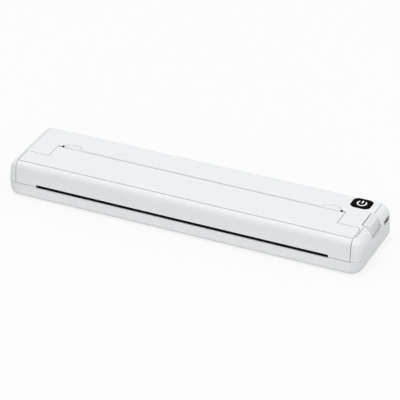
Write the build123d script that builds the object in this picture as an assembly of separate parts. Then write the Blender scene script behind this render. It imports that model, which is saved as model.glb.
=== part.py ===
from build123d import *
import os
from math import acos, atan2, cos, degrees, pi, radians, sin, sqrt, tan

# A4 portable thermal printer. Millimetres, +Z up. The origin is on the table, under the middle of
# the printer. X runs along the printer, the paper comes out at the front (-Y), and the power
# button and the charging port are at the right end (+X).

# ---- Overall size -----------------------------------------------------------------------------
PAPER_WIDTH = 210.0         # A4
END_ROOM = 27.0             # beyond the paper at each end, for the drive and the electronics
HEAD_ROOM = 39.3            # from the front face to the battery holder
CELL_RADIUS = 9.2           # 18650 cells
CELL_LENGTH = 65.0
HOLDER_SPARE = 1.0          # the holder's front and rear walls together
REAR_SPARE = 0.5
BODY_HEIGHT = 26.0

# ---- Casing: draft and rounding ---------------------------------------------------------------
BASE_HEIGHT = 9.7           # from the casing's underside to the parting line
WALL = 1.8
CORNER_RADIUS = 7.7         # upright corners, in plan
FRONT_DRAFT = 5.0           # degrees, above the parting line
END_DRAFT = 3.0
FRONT_TOP_RADIUS = 5.3
REAR_TOP_RADIUS = 8.4
END_TOP_RADIUS = 9.7
FRONT_FOOT_RADIUS = 2.1     # long bottom edges
END_FOOT_RADIUS = 5.4       # bottom edges of the two ends
LEAST_CORNER_RADIUS = 1.2   # upright corners where the rounding above has used them up

# ---- Seams and slots --------------------------------------------------------------------------
SEAM = 0.45                 # between two fixed mouldings
REVEAL_HEIGHT = 0.3         # shadow groove round the parting line
REVEAL_DEPTH = 0.8
COVER_GAP = 0.5             # around the cover
PRESS_GAP = 0.3             # around a button
FASCIA_SEAM = 0.8
EXIT_SLOT_SPARE = 8.0       # how much wider than the paper the exit slot is
EXIT_SLOT_HEIGHT = 2.55
EXIT_LIP_DROP = 0.75        # the lower edge of the exit slot lies this far under the parting line
ENTRY_SLOT = 1.0
ENTRY_SLOT_SPARE = 0.6      # how much wider than the paper the entry slot is
LEAD_IN = 1.0               # ramp on the rear edge of the entry slot
LEAD_IN_END = 2.5           # the ramp stops this far inside the paper's edges
EXIT_LIP_THICKNESS = 0.9    # the front wall is thinned behind the slot to seat the exit guide
EXIT_GUIDE_DEPTH = 4.3
EXIT_GUIDE_THICKNESS = 1.2
EXIT_GUIDE_DROP = 0.3

# ---- Cover ------------------------------------------------------------------------------------
CAP_WIDTH = 7.7             # end cap, from the end to the cover
FASCIA_DEPTH = 4.58         # from the front face to the seam behind the fascia
EAR_DEPTH = 17.95           # from the front face to the rear edge of the cover's side parts
EAR_CORNER_RADIUS = 2.0
TONGUE_SPARE = 5.1          # how much wider than the paper the cover's middle part is
NOSE_RADIUS = 1.6           # rounded rear edge of the cover, round the hinge axis
HINGE_DEPTH = 31.85         # from the front face
HINGE_PIN_RADIUS = 0.8
HINGE_PIN_LENGTH = 7.6
HINGE_FIT = 0.05
KNUCKLE_LENGTH = 2.6
HINGE_BOSS_RADIUS = 2.3
RAIL_WIDTH = 0.6            # strip of the rear housing beside the cover
RAIL_FRONT_DEPTH = 8.0      # where the strip ends, from the front face
RAIL_DEPTH = 4.0
EDGE_MARK_RADIUS = 0.85     # two dark studs that show where the paper's edges go
EDGE_MARK_HEIGHT = 1.4
EDGE_MARK_SINK = 0.15
EDGE_MARK_INSET = 0.3       # from the paper's edge
SCALLOP_INSET = 7.8         # thumb recesses, from the paper's edges to their middles
SCALLOP_LENGTH = 15.6
SCALLOP_REACH = 5.3
SCALLOP_DEPTH = 1.1

# ---- Feet and case screws ---------------------------------------------------------------------
FOOT_HEIGHT = 0.8
FOOT_RADIUS = 5.0
FOOT_RECESS = 0.5
FOOT_END_INSET = 24.0       # from the casing's end to the foot's middle
FOOT_SIDE_INSET = 9.5
CASE_SCREW_REAR_INSET = 6.2
CASE_SCREW_END_INSETS = (42.0, 13.0)
SCREW_RADIUS = 1.0
SCREW_HEAD_RADIUS = 1.9
SCREW_HEAD_HEIGHT = 1.3
SCREW_CLEARANCE = 0.1
BOSS_RADIUS = 2.8
CASE_SCREW_BITE = 7.0       # thread in the housing's boss

# ---- Print head -------------------------------------------------------------------------------
PLATEN_DEPTH = 13.5         # from the front face to the platen's axis
PLATEN_RADIUS = 5.0
PLATEN_SPARE = 3.0          # how much longer than the paper's width the platen is
SHAFT_RADIUS = 2.0
BUSH_RADIUS = 3.0
BUSH_LENGTH = 2.6
RUNNING_FIT = 0.05
NIP = 0.3                   # room for the paper between head and platen
SPRING_LENGTH = 3.4
SPRING_RADIUS = 2.5
SPRING_WIRE_RADIUS = 0.3
SPRING_TURNS = 3
HEAD_SPRING_INSET = 30.0    # the outer springs, from the paper's edges
BRACKET_THICKNESS = 1.0
BRACKET_SPARE = 5.0
BRACKET_DEPTH = 17.0
BRACKET_SHIFT = 2.5         # the bracket's middle lies this far behind the platen's axis
HEAT_SINK_HEIGHT = 3.0
HEAT_SINK_DEPTH = 11.0
HEAT_SINK_SPARE = 4.0
FIN_GROOVE = 1.2
CERAMIC_THICKNESS = 0.8
CERAMIC_DEPTH = 8.5
HEATER_LINE_WIDTH = 1.2
HEATER_LINE_HEIGHT = 0.15
HEAD_CIRCUIT_SPARE = -10.0
HEAD_CIRCUIT_DEPTH = 4.8
CIRCUIT_THICKNESS = 1.2

# ---- Drive: stepper motor, pinion, idler and the gear on the platen ----------------------------
MODULE = 0.5
PLATEN_TEETH = 20
IDLER_TEETH = 16
PINION_TEETH = 12
GEAR_WIDTH = 3.0
GEAR_INSET = 2.6            # from the cover's end to the middle of the gears' width
MESH_EASE = 0.05            # added to each centre distance
BACKLASH = 0.08
PRESSURE_ANGLE = 20.0
PLATEN_TO_IDLER_ANGLE = -41.4
IDLER_TO_MOTOR_ANGLE = 11.5
GEAR_PLATE_THICKNESS = 1.2
GEAR_PLATE_GAP = 0.6
MOTOR_RADIUS = 7.5
MOTOR_GAP = 0.5             # between the motor and the print head
MOTOR_SHAFT_RADIUS = 0.75
MOTOR_EAR_REACH = 9.0
MOTOR_SCREW_RADIUS = 0.8
IDLER_PIN_RADIUS = 1.0

PAPER_GUIDE_THICKNESS = 1.2
GUIDE_RIBS = 9              # under the cover, over the paper
GUIDE_LEG_INSET = 8.0
SENSOR_INSET = 25.0

# ---- Battery ----------------------------------------------------------------------------------
CELL_GAP = 0.2
HOLDER_WALL = 2.0
CONTACT_LENGTH = 1.8
CONTACT_RADIUS = 3.5
LEAD_RADIUS = 0.6

# ---- Main board, charging port and switches ---------------------------------------------------
BOARD_GAP = 5.0             # between the battery holder and the board
BOARD_END_INSET = 3.7
BOARD_REAR_INSET = 4.1
BOARD_DEPTH = 16.9
BOARD_THICKNESS = 1.6
BOARD_POST_RADIUS = 1.6
SOCKET_LENGTH = 11.0        # plug and socket of the print head's cable
CABLE_WIDTH = 10.0
CABLE_THICKNESS = 0.3
PORT_REAR_INSET = 11.85
PORT_HEIGHT_ABOVE_PARTING = 7.1
PORT_WIDTH = 8.94           # USB-C shell
PORT_HEIGHT = 3.26
PORT_LENGTH = 7.0
PORT_SHELL = 0.3
PORT_RECESS = 0.3
PORT_CLEARANCE = 0.28
BUTTON_END_INSET = 18.2
BUTTON_REAR_INSET = 12.95
BUTTON_WIDTH = 13.9
BUTTON_DEPTH = 12.5
BUTTON_RADIUS = 3.9
BUTTON_PROUD = 0.25
BUTTON_TRAVEL = 0.6
SYMBOL_RADIUS = 3.5
SYMBOL_STROKE = 1.0
SYMBOL_OPENING = 44.0       # degrees, from the bar to each end of the ring
SYMBOL_BAR_WIDTH = 1.05
SYMBOL_BAR_LENGTH = 3.4
SYMBOL_DEPTH = 0.25
TACT_WIDTH = 6.0
TACT_HEIGHT = 3.4
PLUNGER_RADIUS = 1.6
PLUNGER_HEIGHT = 1.0

# ---- Cover latch ------------------------------------------------------------------------------
LATCH_SHIFT = 1.25          # the latch's middle lies this far in front of the hinge
LATCH_LENGTH = 16.2
LATCH_LEFT_INSET = 7.75     # from the casing's end
LATCH_TOP_RIGHT_INSET = 2.1
LATCH_BOTTOM_RIGHT_INSET = 1.0
LATCH_REACH = 9.0           # from the top of the casing down to the latch's lower edge
LATCH_EDGE_RADIUS = 1.1
LATCH_FACET = 1.6           # how far the slanting facets take the ridge in at each end
LATCH_SKIRT = 0.8           # the lower part stands back, which leaves a lip for the finger
LATCH_SKIRT_HEIGHT = 3.8
LATCH_REAR_STEP = 5.0       # height of the step in the rear end
LATCH_WALL = 2.0
LATCH_TRAVEL = 1.0
LATCH_SIDE_GAP = 0.35
LATCH_INNER_GAP = 0.85
LATCH_LEDGE = 2.5           # how far the ledge under the latch reaches in from the casing's end
LATCH_LEDGE_THICKNESS = 1.2
LINK_INSET = 8.7            # middle of the slanted link where it leaves the slider below
LINK_THICKNESS = 1.0        # measured along X
LINK_HALF_WIDTH = 1.5
LINK_EASE = 0.3
SLIDER_ABOVE_PARTING = 2.9
SLIDER_HEIGHT = 3.0
SLIDER_LEFT_INSET = 10.5
SLIDER_RIGHT_INSET = 3.9
SLIDER_HALF_WIDTH = 3.1
HOOK_SHIFT = 1.3            # the hook's front lies this far in front of the platen's axis
HOOK_LENGTH = 2.6
HOOK_THICKNESS = 1.5
LATCH_SPRING_RADIUS = 1.2
LATCH_SPRING_WIRE = 0.2
LATCH_SPRING_INSET = 4.9
LATCH_SPRING_SHIFT = 4.65
LATCH_SPRING_LENGTH = 5.3

# ---- Heights and places worked out from the above ---------------------------------------------
BODY_LENGTH = PAPER_WIDTH + 2 * END_ROOM
BODY_DEPTH = HEAD_ROOM + 2 * CELL_RADIUS + HOLDER_SPARE + WALL + REAR_SPARE
BASE_Z = FOOT_HEIGHT
PARTING_Z = BASE_Z + BASE_HEIGHT
TOP_Z = BASE_Z + BODY_HEIGHT
FLOOR_Z = BASE_Z + WALL
CEILING_Z = TOP_Z - WALL
HALF_LENGTH = BODY_LENGTH / 2
HALF_DEPTH = BODY_DEPTH / 2
FRONT = (FRONT_DRAFT, FRONT_TOP_RADIUS, FRONT_FOOT_RADIUS)
REAR = (FRONT_DRAFT, REAR_TOP_RADIUS, FRONT_FOOT_RADIUS)
END = (END_DRAFT, END_TOP_RADIUS, END_FOOT_RADIUS)
COVER_HALF = HALF_LENGTH - CAP_WIDTH
PAPER_HALF = PAPER_WIDTH / 2
TONGUE_HALF = (PAPER_WIDTH + TONGUE_SPARE) / 2
EXIT_HALF = (PAPER_WIDTH + EXIT_SLOT_SPARE) / 2
FASCIA_SEAM_Y = -HALF_DEPTH + FASCIA_DEPTH
EAR_REAR_Y = -HALF_DEPTH + EAR_DEPTH
RAIL_FRONT_Y = -HALF_DEPTH + RAIL_FRONT_DEPTH
HINGE_Y = -HALF_DEPTH + HINGE_DEPTH
PLATEN_Y = -HALF_DEPTH + PLATEN_DEPTH
RAIL_INNER = COVER_HALF + COVER_GAP
RAIL_OUTER = RAIL_INNER + RAIL_WIDTH
CAP_INNER = RAIL_OUTER + SEAM
CASE_SCREW_Y = HALF_DEPTH - CASE_SCREW_REAR_INSET
HINGE_Z = TOP_Z - NOSE_RADIUS
NOSE_Y = HINGE_Y + NOSE_RADIUS
LIP_Y = NOSE_Y + ENTRY_SLOT
ENTRY_HALF = (PAPER_WIDTH + ENTRY_SLOT_SPARE) / 2
EDGE_MARK_X = PAPER_HALF - EDGE_MARK_INSET
EDGE_MARK_Y = LIP_Y - 0.35
EXIT_BOTTOM_Z = PARTING_Z - EXIT_LIP_DROP
EXIT_TOP_Z = EXIT_BOTTOM_Z + EXIT_SLOT_HEIGHT
BRACKET_HALF = (PAPER_WIDTH + BRACKET_SPARE) / 2
BRACKET_Y = PLATEN_Y + BRACKET_SHIFT
BRACKET_Z = FLOOR_Z + SPRING_LENGTH
HEAD_SPRING_X = (HEAD_SPRING_INSET - PAPER_HALF, 0.0, PAPER_HALF - HEAD_SPRING_INSET)
HEAT_SINK_HALF = (PAPER_WIDTH + HEAT_SINK_SPARE) / 2
HEAT_SINK_Z = BRACKET_Z + BRACKET_THICKNESS
CERAMIC_Z = HEAT_SINK_Z + HEAT_SINK_HEIGHT
HEAD_TOP_Z = CERAMIC_Z + CERAMIC_THICKNESS
PLATEN_Z = HEAD_TOP_Z + NIP + HEATER_LINE_HEIGHT + PLATEN_RADIUS
PLATEN_HALF = (PAPER_WIDTH + PLATEN_SPARE) / 2
SIDE_PLATE_X = PLATEN_HALF + 0.7
GEAR_X = GEAR_INSET - COVER_HALF
GEAR_INNER_X = GEAR_X + GEAR_WIDTH / 2
GEAR_PLATE_X = GEAR_INNER_X + GEAR_PLATE_GAP
MOTOR_X = GEAR_PLATE_X + GEAR_PLATE_THICKNESS
MOTOR_LENGTH = -BRACKET_HALF - MOTOR_GAP - MOTOR_X
CELL_Y = HALF_DEPTH - WALL - REAR_SPARE - HOLDER_SPARE * 0.4 - CELL_RADIUS
CELL_Z = FLOOR_Z + 0.4 + CELL_RADIUS
HOLDER_HALF = CELL_LENGTH + CELL_GAP + CONTACT_LENGTH + HOLDER_WALL
PORT_Y = HALF_DEPTH - PORT_REAR_INSET
PORT_Z = PARTING_Z + PORT_HEIGHT_ABOVE_PARTING
BOARD_LEFT_X = HOLDER_HALF + BOARD_GAP
BOARD_RIGHT_X = HALF_LENGTH - BOARD_END_INSET
BOARD_REAR_Y = HALF_DEPTH - BOARD_REAR_INSET
BOARD_FRONT_Y = BOARD_REAR_Y - BOARD_DEPTH
BOARD_TOP_Z = PORT_Z - PORT_HEIGHT / 2 - 0.02
BOARD_Z = BOARD_TOP_Z - BOARD_THICKNESS
SOCKET_X = BOARD_LEFT_X + 3.0
BUTTON_X = HALF_LENGTH - BUTTON_END_INSET
BUTTON_Y = HALF_DEPTH - BUTTON_REAR_INSET
BUTTON_TOP_Z = TOP_Z + BUTTON_PROUD
FRAME_Z = PLATEN_Z + PLATEN_RADIUS + 0.6
FRAME_THICKNESS = 1.2
FLANGE_Z = FRAME_Z + FRAME_THICKNESS
FLANGE_THICKNESS = 1.2
LATCH_Y = HINGE_Y - LATCH_SHIFT
LATCH_LEFT_X = HALF_LENGTH - LATCH_LEFT_INSET
LATCH_TOP_RIGHT_X = HALF_LENGTH - LATCH_TOP_RIGHT_INSET
LATCH_BOTTOM_RIGHT_X = HALF_LENGTH - LATCH_BOTTOM_RIGHT_INSET
LATCH_BOTTOM_Z = TOP_Z - LATCH_REACH
LINK_X = HALF_LENGTH - LINK_INSET
SLIDER_Z = PARTING_Z + SLIDER_ABOVE_PARTING
SLIDER_LEFT_X = HALF_LENGTH - SLIDER_LEFT_INSET
SLIDER_RIGHT_X = HALF_LENGTH - SLIDER_RIGHT_INSET
HOOK_FRONT_Y = PLATEN_Y - HOOK_SHIFT
LATCH_SPRING_X = HALF_LENGTH - LATCH_SPRING_INSET
LATCH_SPRING_Y = LATCH_Y + LATCH_SPRING_SHIFT
SLIDER_TOP_Z = SLIDER_Z + SLIDER_HEIGHT
HOOK_Z = SLIDER_TOP_Z - HOOK_THICKNESS
CATCH_BOTTOM_Z = HOOK_Z - 2.5
LATCH_SILL_Z = LATCH_BOTTOM_Z - LATCH_TRAVEL - LATCH_SIDE_GAP
LATCH_SEAT_Z = LATCH_BOTTOM_Z - LATCH_TRAVEL - 0.5
LATCH_SPRING_TOP = LATCH_SEAT_Z + LATCH_SPRING_LENGTH


# ---- Plain shapes -----------------------------------------------------------------------------
def block(x0, x1, y0, y1, z0, z1):
    centre = Pos((x0 + x1) / 2, (y0 + y1) / 2, (z0 + z1) / 2)
    return centre * Box(abs(x1 - x0), abs(y1 - y0), abs(z1 - z0))


def rod_x(x0, x1, y, z, radius):
    return Pos((x0 + x1) / 2, y, z) * Rot(0, 90, 0) * Cylinder(radius, abs(x1 - x0))


def rod_z(x, y, z0, z1, radius):
    return Pos(x, y, (z0 + z1) / 2) * Cylinder(radius, abs(z1 - z0))


def ring_x(x0, x1, y, z, outer, inner):
    return rod_x(x0, x1, y, z, outer) - rod_x(x0 - 1, x1 + 1, y, z, inner)


def prism_x(points, x0, x1):
    """An outline of (y, z) points, drawn out along X."""
    face = make_face(Polyline(*[(x0, y, z) for y, z in points], close=True))
    return extrude(face, amount=x1 - x0, dir=(1, 0, 0))


def prism_y(points, y0, y1):
    """An outline of (x, z) points, drawn out along Y."""
    face = make_face(Polyline(*[(x, y0, z) for x, z in points], close=True))
    return extrude(face, amount=y1 - y0, dir=(0, 1, 0))


def pad_z(x, y, z0, z1, width, depth, radius):
    """An upright block with rounded upright edges."""
    return extrude(Pos(x, y, z0) * RectangleRounded(width, depth, radius), amount=z1 - z0)


def both_ends(shape):
    return shape + mirror(shape, about=Plane.YZ)


def coil_spring(x, y, z0, z1, radius, wire, turns):
    """A compression spring: an open helix that rests on its two ends."""
    height = z1 - z0 - 2 * wire
    path = Pos(x, y, z0 + wire) * Helix(height / turns, height, radius - wire)
    section = Plane(origin=path @ 0, z_dir=path % 0) * Circle(wire)
    return sweep(section, path=path)


# ---- The casing's skin ------------------------------------------------------------------------
def inset(z, side, shrink):
    """How far one side of the skin stands in from the overall size at height z."""
    draft, top_radius, foot_radius = side
    top_radius = max(top_radius - shrink, 0.5)
    foot_radius = max(foot_radius - shrink, 0.5)
    under = BASE_Z + shrink + foot_radius - z
    if under > 0:
        return foot_radius - sqrt(max(foot_radius**2 - under**2, 0))
    shoulder = TOP_Z - shrink - top_radius
    slope = max(min(z, shoulder) - PARTING_Z, 0) * tan(radians(draft))
    over = max(z - shoulder, 0)
    return slope + top_radius - sqrt(max(top_radius**2 - over**2, 0))


def skin_section(z, shrink):
    end, front, rear = (inset(z, side, shrink) for side in (END, FRONT, REAR))
    half = HALF_LENGTH - shrink - end
    front_y = -(HALF_DEPTH - shrink - front)
    rear_y = HALF_DEPTH - shrink - rear
    radius = max(CORNER_RADIUS - shrink - (2 * end + front + rear) / 4, LEAST_CORNER_RADIUS)
    outline = RectangleRounded(2 * half, rear_y - front_y, radius)
    return Pos(0, (front_y + rear_y) / 2, z) * outline


def upper_skin(shrink):
    """The solid inside the casing's skin above the parting line."""
    largest = max(END_TOP_RADIUS, REAR_TOP_RADIUS, FRONT_TOP_RADIUS) - shrink
    angles = (0, 15, 30, 45, 58, 69, 79, 90)
    heights = [TOP_Z - shrink - largest * (1 - sin(radians(a))) for a in angles]
    wall = loft([skin_section(PARTING_Z, shrink), skin_section(heights[0], shrink)], ruled=True)
    return wall + loft([skin_section(z, shrink) for z in heights])


def lower_skin(shrink):
    """The solid inside the casing's skin below the parting line."""
    largest = max(END_FOOT_RADIUS, FRONT_FOOT_RADIUS) - shrink
    angles = (0, 15, 32, 50, 70, 90)
    heights = [BASE_Z + shrink + largest * (1 - cos(radians(a))) for a in angles]
    bowl = loft([skin_section(z, shrink) for z in heights])
    wall = loft([skin_section(heights[-1], shrink), skin_section(PARTING_Z, shrink)], ruled=True)
    return bowl + wall


UPPER_SOLID = upper_skin(0)
UPPER_SHELL = UPPER_SOLID - upper_skin(WALL)


# ---- Gears ------------------------------------------------------------------------------------
def involute_angle(radius, base):
    """Angle that an involute has turned through where it reaches this radius."""
    lean = acos(min(base / radius, 1))
    return tan(lean) - lean


def gear(teeth, x, y, z, tooth_angle, bore):
    """A spur gear on an axis along X, with the middle of one tooth at tooth_angle in (y, z)."""
    pitch = MODULE * teeth / 2
    base = pitch * cos(radians(PRESSURE_ANGLE))
    tip = pitch + MODULE
    root = pitch - 1.25 * MODULE
    half_pitch_tooth = (pi * MODULE / 2 - BACKLASH) / 2 / pitch
    spread = half_pitch_tooth + involute_angle(pitch, base)
    start = max(base, root)
    flank = [start + (tip - start) * i / 3 for i in range(4)]
    half_angles = [spread - involute_angle(r, base) for r in flank]
    outline = []
    for tooth in range(teeth):
        middle = radians(tooth_angle) + 2 * pi * tooth / teeth
        left = [(r, middle - a) for r, a in zip(flank, half_angles)]
        right = [(r, middle + a) for r, a in zip(flank, half_angles)]
        foot = (root, left[0][1]), (root, right[0][1])
        outline += [foot[0], *left, *reversed(right), foot[1]]
    points = []
    for r, a in outline:
        point = (y + r * cos(a), z + r * sin(a))
        if not points or abs(point[0] - points[-1][0]) + abs(point[1] - points[-1][1]) > 1e-4:
            points.append(point)
    blank = prism_x(points, x - GEAR_WIDTH / 2, x + GEAR_WIDTH / 2)
    return blank - rod_x(x - GEAR_WIDTH, x + GEAR_WIDTH, y, z, bore)


def gear_train():
    """Centres (y, z) and tooth angles of the platen gear, the idler and the motor pinion."""
    platen = (PLATEN_Y, PLATEN_Z)
    distance = MODULE * (PLATEN_TEETH + IDLER_TEETH) / 2 + MESH_EASE
    down = radians(PLATEN_TO_IDLER_ANGLE)
    idler = (platen[0] + distance * cos(down), platen[1] + distance * sin(down))
    distance = MODULE * (IDLER_TEETH + PINION_TEETH) / 2 + MESH_EASE
    across = radians(IDLER_TO_MOTOR_ANGLE)
    motor = (idler[0] + distance * cos(across), idler[1] + distance * sin(across))
    platen_tooth = PLATEN_TO_IDLER_ANGLE
    idler_tooth = PLATEN_TO_IDLER_ANGLE + 180 + 180 / IDLER_TEETH
    step = 360 / IDLER_TEETH
    offset = (idler_tooth - IDLER_TO_MOTOR_ANGLE + step / 2) % step - step / 2
    gap = IDLER_TO_MOTOR_ANGLE + 180 - offset * IDLER_TEETH / PINION_TEETH
    pinion_tooth = gap + 180 / PINION_TEETH
    return (*platen, platen_tooth), (*idler, idler_tooth), (*motor, pinion_tooth)


PLATEN_AXIS, IDLER_AXIS, MOTOR_AXIS = gear_train()


# ---- Places that several pieces share ---------------------------------------------------------
def case_screw_places():
    return [(side * (HALF_LENGTH - inset), CASE_SCREW_Y)
            for inset in CASE_SCREW_END_INSETS for side in (-1, 1)]


def foot_places():
    x = HALF_LENGTH - FOOT_END_INSET
    y = HALF_DEPTH - FOOT_SIDE_INSET
    return [(sx * x, sy * y) for sx in (-1, 1) for sy in (-1, 1)]


def board_post_places():
    return [(BOARD_LEFT_X + 3, BOARD_FRONT_Y + 2.5), (BOARD_LEFT_X + 3, BOARD_REAR_Y - 3),
            (BOARD_RIGHT_X - 6, BOARD_FRONT_Y + 2.5), (BUTTON_X - 12, BOARD_FRONT_Y + 2.5)]


def cover_screw_places():
    outer = PAPER_HALF - 5.0
    return [(x, FASCIA_SEAM_Y + 4.4) for x in (-outer, -outer / 3, outer / 3, outer)]


def latch_opening():
    """The room that the latch button moves in, cut from the housing and the right end."""
    reach = LATCH_LENGTH / 2 + LATCH_SIDE_GAP
    left = LATCH_LEFT_X - LATCH_INNER_GAP
    return block(left, HALF_LENGTH + 5, LATCH_Y - reach, LATCH_Y + reach, LATCH_SILL_Z, TOP_Z + 5)


def reveal():
    """The shadow groove along the foot of the upper mouldings, front, rear and round the corners."""
    ring = upper_skin(0) - upper_skin(REVEAL_DEPTH)
    far = HALF_LENGTH + 5
    side = HALF_DEPTH - CORNER_RADIUS
    ring -= both_ends(block(CAP_INNER + 1, far, -side, side, 0, TOP_Z))
    return ring & block(-far, far, -far, far, PARTING_Z - 1, PARTING_Z + REVEAL_HEIGHT)


def port_outline(clearance):
    width = PORT_WIDTH + 2 * clearance
    height = PORT_HEIGHT + 2 * clearance
    return Plane.YZ * RectangleRounded(width, height, height / 2 - 0.01)


def port_bar(x0, x1, clearance):
    return extrude(Pos(x0, PORT_Y, PORT_Z) * port_outline(clearance), amount=x1 - x0, dir=(1, 0, 0))


# ---- Base -------------------------------------------------------------------------------------
def lower_shell():
    tray = lower_skin(0) - lower_skin(WALL)
    tray -= block(-EXIT_HALF, EXIT_HALF, -HALF_DEPTH - 1, -HALF_DEPTH + WALL + 0.5,
                  EXIT_BOTTOM_Z, PARTING_Z + 1)
    tray -= block(-EXIT_HALF, EXIT_HALF, -HALF_DEPTH + EXIT_LIP_THICKNESS, -HALF_DEPTH + WALL + 0.5,
                  EXIT_BOTTOM_Z - EXIT_GUIDE_DROP - EXIT_GUIDE_THICKNESS, PARTING_Z + 1)
    inside = FLOOR_Z - 0.3
    for x, y in case_screw_places():
        tray += rod_z(x, y, inside, PARTING_Z, BOSS_RADIUS)
        tray -= rod_z(x, y, BASE_Z - 1, PARTING_Z + 1, SCREW_RADIUS + SCREW_CLEARANCE)
        tray -= rod_z(x, y, BASE_Z - 1, BASE_Z + SCREW_HEAD_HEIGHT + 0.4,
                      SCREW_HEAD_RADIUS + SCREW_CLEARANCE)
    for x, y in foot_places():
        tray -= rod_z(x, y, BASE_Z - 1, BASE_Z + FOOT_RECESS, FOOT_RADIUS + 0.1)
    for x, y in board_post_places():
        tray += rod_z(x, y, inside, BOARD_Z, BOARD_POST_RADIUS)
    for x in HEAD_SPRING_X:
        tray += rod_z(x, BRACKET_Y, inside, FLOOR_Z + 1.2, SPRING_RADIUS - 3 * SPRING_WIRE_RADIUS)
    guide_x = BRACKET_HALF - 0.5
    for side in (-1, 1):
        edge = BRACKET_Y + side * (BRACKET_DEPTH / 2 + 0.3)
        tray += both_ends(block(guide_x - 3, guide_x, edge, edge + side * 1.6,
                                inside, CERAMIC_Z - 0.6))
        y = LATCH_Y + side * 2.5
        tray += block(SLIDER_LEFT_X - 1, SLIDER_RIGHT_X - 0.6, y - 0.5, y + 0.5, inside,
                      SLIDER_Z - 0.3)
    x, y = LATCH_SPRING_X, LATCH_SPRING_Y
    tray += rod_z(x, y, inside, LATCH_SEAT_Z, LATCH_SPRING_RADIUS)
    tray += rod_z(x, y, LATCH_SEAT_Z, LATCH_SEAT_Z + 1.0,
                  LATCH_SPRING_RADIUS - 3 * LATCH_SPRING_WIRE)
    saddle_z = MOTOR_AXIS[1] - MOTOR_RADIUS - 0.1
    tray += block(MOTOR_X + 2, MOTOR_X + MOTOR_LENGTH - 2, MOTOR_AXIS[0] - 2.5,
                  MOTOR_AXIS[0] + 2.5, inside, saddle_z)
    return tray


def exit_guide():
    """The dark ledge just inside the exit slot, on four feet."""
    front = -HALF_DEPTH + EXIT_LIP_THICKNESS
    top = EXIT_BOTTOM_Z - EXIT_GUIDE_DROP
    low = top - EXIT_GUIDE_THICKNESS
    guide = block(-EXIT_HALF, EXIT_HALF, front, front + EXIT_GUIDE_DEPTH, low, top)
    for x in (-EXIT_HALF + 12, -EXIT_HALF / 3, EXIT_HALF / 3, EXIT_HALF - 12):
        guide += block(x - 1, x + 1, front + 1.5, front + EXIT_GUIDE_DEPTH, FLOOR_Z, low)
    return guide


def rubber_feet():
    feet = [rod_z(x, y, 0, BASE_Z + FOOT_RECESS - 0.05, FOOT_RADIUS) for x, y in foot_places()]
    return [fillet(foot.edges().group_by(Axis.Z)[0], 0.3) for foot in feet]


def case_screws():
    screws = []
    for x, y in case_screw_places():
        head_z = BASE_Z + 0.4
        screw = rod_z(x, y, head_z, head_z + SCREW_HEAD_HEIGHT, SCREW_HEAD_RADIUS)
        screw += rod_z(x, y, head_z, PARTING_Z + CASE_SCREW_BITE, SCREW_RADIUS)
        screw -= block(x - 1.1, x + 1.1, y - 0.2, y + 0.2, head_z - 1, head_z + 0.6)
        screw -= block(x - 0.2, x + 0.2, y - 1.1, y + 1.1, head_z - 1, head_z + 0.6)
        screws.append(screw)
    return screws


def cover_room():
    """The room that the closed cover fills, with its gap, cut from the rear housing."""
    rear = EAR_REAR_Y + COVER_GAP + 0.05
    ears = block(-RAIL_INNER, RAIL_INNER, -HALF_DEPTH - 5, rear, PARTING_Z - 1, TOP_Z + 5)
    ears = fillet(ears.edges().filter_by(Axis.Z).group_by(Axis.Y)[-1], EAR_CORNER_RADIUS)
    tongue_half = TONGUE_HALF + COVER_GAP
    narrow = block(-tongue_half, tongue_half, -HALF_DEPTH, NOSE_Y + COVER_GAP + 0.05,
                   PARTING_Z - 1, TOP_Z + 5)
    slot = block(-ENTRY_HALF, ENTRY_HALF, -HALF_DEPTH, LIP_Y, PARTING_Z - 1, TOP_Z + 5)
    return ears + narrow + slot


def scallop(side):
    """A thumb recess: the rear part of a shallow round pocket with a flat floor."""
    half = SCALLOP_LENGTH / 2
    x = side * (PAPER_HALF - SCALLOP_INSET)
    arch_radius = (half**2 + SCALLOP_REACH**2) / (2 * SCALLOP_REACH)
    centre_y = LIP_Y + SCALLOP_REACH - arch_radius
    pocket = rod_z(x, centre_y, TOP_Z - SCALLOP_DEPTH, TOP_Z + 2, arch_radius)
    return pocket & block(x - half - 1, x + half + 1, LIP_Y - 0.5, HALF_DEPTH, 0, TOP_Z + 3)


def seam_lip():
    """A step under the end caps that keeps the seam shut."""
    root = upper_skin(WALL - 0.3) - upper_skin(WALL + 1.1)
    step = upper_skin(WALL + 0.12) - upper_skin(WALL + 1.1)
    rear_part = EAR_REAR_Y + 2.5
    lip = root & block(RAIL_INNER - 1.5, RAIL_OUTER - 0.05, rear_part, HALF_DEPTH,
                       PARTING_Z + 0.1, TOP_Z)
    lip += step & block(RAIL_OUTER - 0.1, RAIL_OUTER + 1.7, rear_part, HALF_DEPTH,
                        PARTING_Z + 0.1, TOP_Z)
    return both_ends(lip)


def button_well(grow, z0, z1):
    return pad_z(BUTTON_X, BUTTON_Y, z0, z1, BUTTON_WIDTH + 2 * grow, BUTTON_DEPTH + 2 * grow,
                 BUTTON_RADIUS + grow)


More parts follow.
